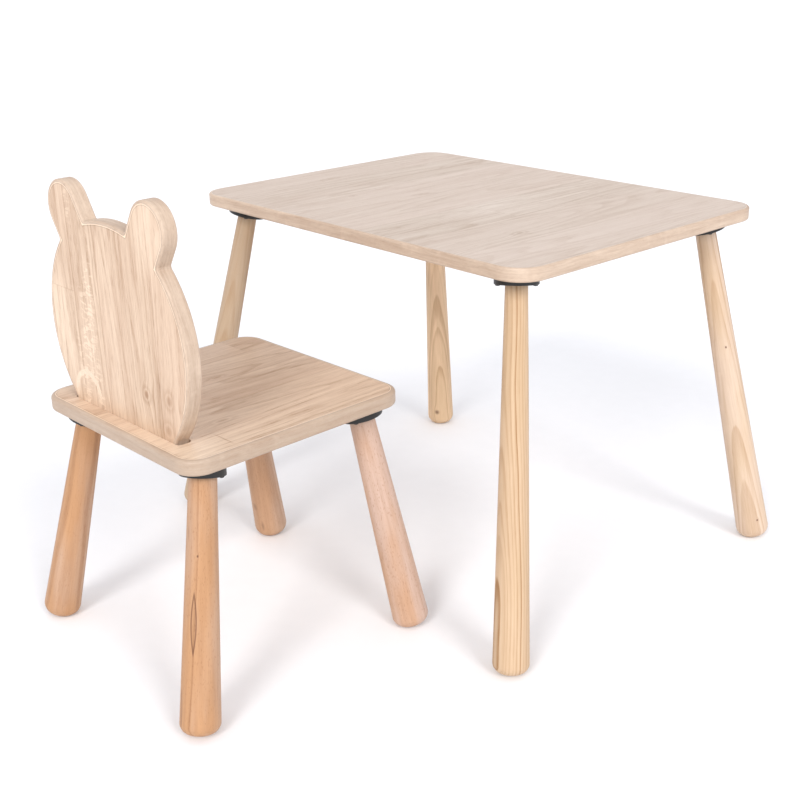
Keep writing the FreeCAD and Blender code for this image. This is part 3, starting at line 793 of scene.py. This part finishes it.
class OBJECT_OT_seat(bpy.types.Operator):
    """Finish the seat and its edging"""

    bl_idname = "object.play_seat"
    bl_label = "Seat"

    def execute(self, context):
        look = context.scene.play_board
        origin = middle("seat_board")
        turn = (0.0, 0.0, CHAIR_TURN)

        def line(finish, place):
            return frame_line(finish, place, SEAT_HALF, SEAT_HALF, SEAT_CORNER)

        tones = (look.seat_pale, look.seat_deep, look.seat_blush)
        marks = (
            Mark(-0.04, 0.02, 0.004, 0.012, 0.4),
            Mark(0.075, -0.055, 0.006, 0.015, 0.35),
            Mark(0.117, -0.084, 0.024, 0.0012, 0.5, "patch"),
            Mark(0.020, 0.085, 0.005, 0.050, 0.25, "patch"),
            # Painted light: a pale patch at the seat's near corner
            Mark(0.070, -0.130, 0.110, 0.045, -0.30, "patch"),
            # Painted shade: a darker patch over the middle of the seat, where the backrest's shadow falls
            Mark(0.020, 0.040, 0.120, 0.110, 0.16, "patch"),
        )
        planks = Planks(seed=11.0, joint=0.035, width=0.062, marks=marks, contrast=0.85)
        coat(["seat_board"], board_finish("seat_oak", look, tones, origin, turn, planks, line))
        # The seat's edging is a darker copy of the edging oak: partly its own tone, partly painted shade on
        # its sides
        pale = tinted(look.edge_pale, 0.79)
        coat(["seat_edge_band"], edging_finish("seat_edging", pale, look.edge_deep, origin, turn, 15.0))
        return {"FINISHED"}


class OBJECT_OT_backrest(bpy.types.Operator):
    """Finish the bear-eared backrest and its edging"""

    bl_idname = "object.play_backrest"
    bl_label = "Backrest"

    def execute(self, context):
        look = context.scene.play_board
        origin = middle("backrest_board")
        _, seat_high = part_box("seat_board")
        origin.z = seat_high.z
        turn = (math.pi / 2, 0.0, CHAIR_TURN)
        tones = (look.seat_pale, look.seat_deep, look.seat_blush)
        marks = (
            Mark(0.053, 0.043, 0.0070, 0.0085, 0.55),
            Mark(0.096, 0.047, 0.0080, 0.0100, 0.50),
            Mark(0.090, 0.012, 0.0100, 0.0100, 0.40),
            Mark(-0.070, 0.010, 0.026, 0.028, 0.75, "arch"),
            Mark(0.085, 0.040, 0.030, 0.060, 0.16, "patch"),
            Mark(0.082, 0.225, 0.045, 0.060, -0.36, "patch"),
            Mark(-0.110, 0.100, 0.030, 0.090, -0.25, "patch"),
        )
        planks = Planks(23.0, -0.0245, 0.0525, marks, 0.95, ray_depth=0.36, ray_edges=(-0.084, -0.030))
        coat(["backrest_board"], board_finish("backrest_oak", look, tones, origin, turn, planks, bear_line))
        edging = edging_finish("backrest_edging", look.edge_pale, look.edge_deep, origin, turn, 27.0)
        coat(["backrest_edge_band"], edging)
        return {"FINISHED"}


class OBJECT_OT_table_legs(bpy.types.Operator):
    """Finish the four turned table legs"""

    bl_idname = "object.play_table_legs"
    bl_label = "Table Legs"

    def execute(self, context):
        look = context.scene.play_legs
        pale, deep, warm = look.ash_pale, look.ash_deep, look.ash_warm
        timbers = {
            "front_right": Timber(pale, deep, warm, (0.052, 0.030), 0.020, 0.0040, 0.95),
            "back_right": Timber(
                tinted(pale, 1.10, 1.20, 1.42), deep, warm, (0.062, -0.020), 0.045, 0.0095, 0.90,
                marks=(
                    LegMark(0.0160, -0.0015, 0.285, 0.0016, 0.0024, 1.0),
                    LegMark(0.0208, 0.0027, 0.025, 0.0020, 0.0022, 0.9),
                ),
            ),
            # Painted light: this leg is made paler to make up for the shade that falls on it under the table
            "back_left": Timber(
                tinted(pale, 1.38), deep, warm, (0.012, -0.058), 0.055, 0.0062, 0.60,
                marks=(LegMark(-0.0028, -0.0205, 0.022, 0.0055, 0.0060, 0.75),),
            ),
            # Darker and greyer: partly this leg's own tone, partly painted shade, as it stands mostly in
            # shadow
            "front_left": Timber(
                tinted(pale, 0.80, 0.84, 0.90), deep, warm, (-0.055, 0.006), 0.050, 0.0060, 0.9
            ),
        }
        coat_legs("table", "ash", timbers, 10.0, 7.0)
        return {"FINISHED"}


class OBJECT_OT_chair_legs(bpy.types.Operator):
    """Finish the four turned chair legs"""

    bl_idname = "object.play_chair_legs"
    bl_label = "Chair Legs"

    def execute(self, context):
        look = context.scene.play_legs
        pale, deep, warm = look.beech_pale, look.beech_deep, look.beech_warm
        timbers = {
            "back_right": Timber(
                pale, deep, warm, (0.060, -0.030), 0.014, 0.0060, 0.40,
                marks=(
                    LegMark(0.0020, 0.0, 0.120, 0.0034, 0.034, 0.62, spindle=True),
                    LegMark(-0.0010, 0.0175, 0.192, 0.0014, 0.0022, 0.9),
                    LegMark(0.0160, 0.0, 0.026, 0.0010, 0.022, 0.65, spindle=True),
                    LegMark(0.0105, 0.0130, 0.215, 0.0022, 0.0110, 0.25),
                ),
                flecks=0.28,
                blush=0.8,
            ),
            "front_right": Timber(
                tinted(pale, 1.12, 1.24, 1.48), deep, warm, (-0.050, 0.030), 0.012, 0.0080, 0.22,
                flecks=0.30,
            ),
            "back_left": Timber(
                pale, deep, warm, (0.050, 0.020), 0.016, 0.0070, 0.25,
                top_warm=0.9,
                flecks=0.18,
                blush=0.8,
            ),
            "front_left": Timber(
                tinted(pale, 1.12, 1.20, 1.30), deep, warm, (-0.020, 0.050), 0.012, 0.0070, 0.3,
                marks=(
                    LegMark(-0.0040, -0.0215, 0.020, 0.0036, 0.0130, 0.75),
                    LegMark(-0.0030, -0.0215, 0.004, 0.0012, 0.0140, 0.6),
                    LegMark(-0.0115, -0.0160, 0.052, 0.0050, 0.0080, 0.35),
                ),
                flecks=0.2,
            ),
        }
        coat_legs("chair", "beech", timbers, 50.0, 9.0)
        return {"FINISHED"}


class OBJECT_OT_fittings(bpy.types.Operator):
    """Finish the leg plates, their inserts, the bolts and the screws"""

    bl_idname = "object.play_fittings"
    bl_label = "Plates, Bolts and Screws"

    def execute(self, context):
        look = context.scene.play_fittings
        plates = [name for name in named("_plate_") if not name.endswith("screws")]
        coat(plates, plastic_finish("black_plastic_skin", look.plastic))
        coat(named("plate_screws"), metal_finish("black_screw_steel", look.black, 0.42))
        zinc = metal_finish("zinc_plate", look.zinc, 0.32)
        coat(named("_sleeve_") + named("_bolt_") + ["backrest_screws"], zinc)
        return {"FINISHED"}


class OBJECT_OT_stage(bpy.types.Operator):
    """Set out the floor, the light and the camera"""

    bl_idname = "object.play_stage"
    bl_label = "Floor, Light and Camera"

    def execute(self, context):
        look = context.scene.play_stage
        scene = context.scene
        self.lay_floor(look)
        self.hang_lamp("left_lamp", look.left_lamp, look.softness, *LEFT_LAMP)
        self.hang_lamp("right_lamp", look.right_lamp, look.softness, *RIGHT_LAMP)
        self.light_sky(scene, look)
        self.set_camera(scene)
        scene.view_settings.view_transform = "Standard"
        return {"FINISHED"}

    def lay_floor(self, look):
        """A wide round floor."""
        reach = 30.0
        steps = 64
        angles = [2 * math.pi * step / steps for step in range(steps)]
        points = [(reach * math.cos(angle), reach * math.sin(angle), 0.0) for angle in angles]
        mesh = bpy.data.meshes.new("floor")
        mesh.from_pydata(points, [], [range(steps)])
        floor = bpy.data.objects.new("floor", mesh)
        bpy.context.scene.collection.objects.link(floor)
        finish = Finish("white_floor")
        x, y, _ = finish.split(finish.place())
        speck = finish.noise(x * 40.0, y * 40.0, 0.0, detail=3.0)
        base = finish.mix(look.floor, tinted(look.floor, 0.97), speck)
        mesh.materials.append(finish.close(base, 0.7 + speck * 0.1, finish.bump(speck, 0.0002, 0.2)))

    def hang_lamp(self, name, strength, softness, aside, height):
        """A wide soft lamp behind the camera, turned aside from its heading, at a height in degrees."""
        data = bpy.data.lights.new(name, "SUN")
        data.energy = strength
        data.angle = softness
        lamp = bpy.data.objects.new(name, data)
        bpy.context.scene.collection.objects.link(lamp)
        heading = Matrix.Rotation(CAMERA_HEADING - math.radians(aside), 4, "Z")
        lamp.matrix_world = heading @ Matrix.Rotation(math.radians(90.0 - height), 4, "X")

    def light_sky(self, scene, look):
        """White light from all round."""
        world = bpy.data.worlds.new("studio")
        scene.world = world
        world.use_nodes = True
        background = world.node_tree.nodes["Background"]
        background.inputs["Color"].default_value = colour(look.sky_tint)
        background.inputs["Strength"].default_value = look.sky

    def set_camera(self, scene):
        """A camera at a child's eye height, ahead of the table's near corner."""
        data = bpy.data.cameras.new("camera")
        data.lens = CAMERA_LENS
        data.sensor_width = 36.0
        data.clip_end = 100.0
        camera = bpy.data.objects.new("camera", data)
        scene.collection.objects.link(camera)
        spot = middle("table_edge_band") + CAMERA_FROM_TABLE
        spot.z = CAMERA_HEIGHT
        heading = Matrix.Rotation(CAMERA_HEADING, 4, "Z")
        dip = Matrix.Rotation(math.pi / 2 - CAMERA_DIP, 4, "X")
        roll = Matrix.Rotation(CAMERA_ROLL, 4, "Z")
        camera.matrix_world = Matrix.Translation(spot) @ heading @ dip @ roll
        scene.camera = camera


class VIEW3D_PT_play_table(bpy.types.Panel):
    """Table and chair settings and steps"""

    bl_label = "Table and Chair"
    bl_space_type = "VIEW_3D"
    bl_region_type = "UI"
    bl_category = "Table and Chair"

    def draw(self, context):
        for group in SETTINGS:
            settings = getattr(context.scene, group)
            for name in settings.bl_rna.properties.keys():
                if name not in {"rna_type", "name"}:
                    self.layout.prop(settings, name)
        for step in STEPS:
            self.layout.operator(step.bl_idname)


STEPS = (
    OBJECT_OT_stage,
    OBJECT_OT_table_top,
    OBJECT_OT_table_legs,
    OBJECT_OT_seat,
    OBJECT_OT_backrest,
    OBJECT_OT_chair_legs,
    OBJECT_OT_fittings,
)
SETTINGS = {
    "play_board": BoardLook,
    "play_legs": LegLook,
    "play_fittings": FittingLook,
    "play_stage": StageLook,
}


def register():
    for kind in (*SETTINGS.values(), *STEPS, VIEW3D_PT_play_table):
        bpy.utils.register_class(kind)
    for group, kind in SETTINGS.items():
        setattr(bpy.types.Scene, group, bpy.props.PointerProperty(type=kind))


def unregister():
    for group in SETTINGS:
        delattr(bpy.types.Scene, group)
    for kind in reversed((*SETTINGS.values(), *STEPS, VIEW3D_PT_play_table)):
        bpy.utils.unregister_class(kind)


def main():
    register()
    bpy.ops.object.play_stage()
    bpy.ops.object.play_table_top()
    bpy.ops.object.play_table_legs()
    bpy.ops.object.play_seat()
    bpy.ops.object.play_backrest()
    bpy.ops.object.play_chair_legs()
    bpy.ops.object.play_fittings()


if __name__ == "__main__":
    main()
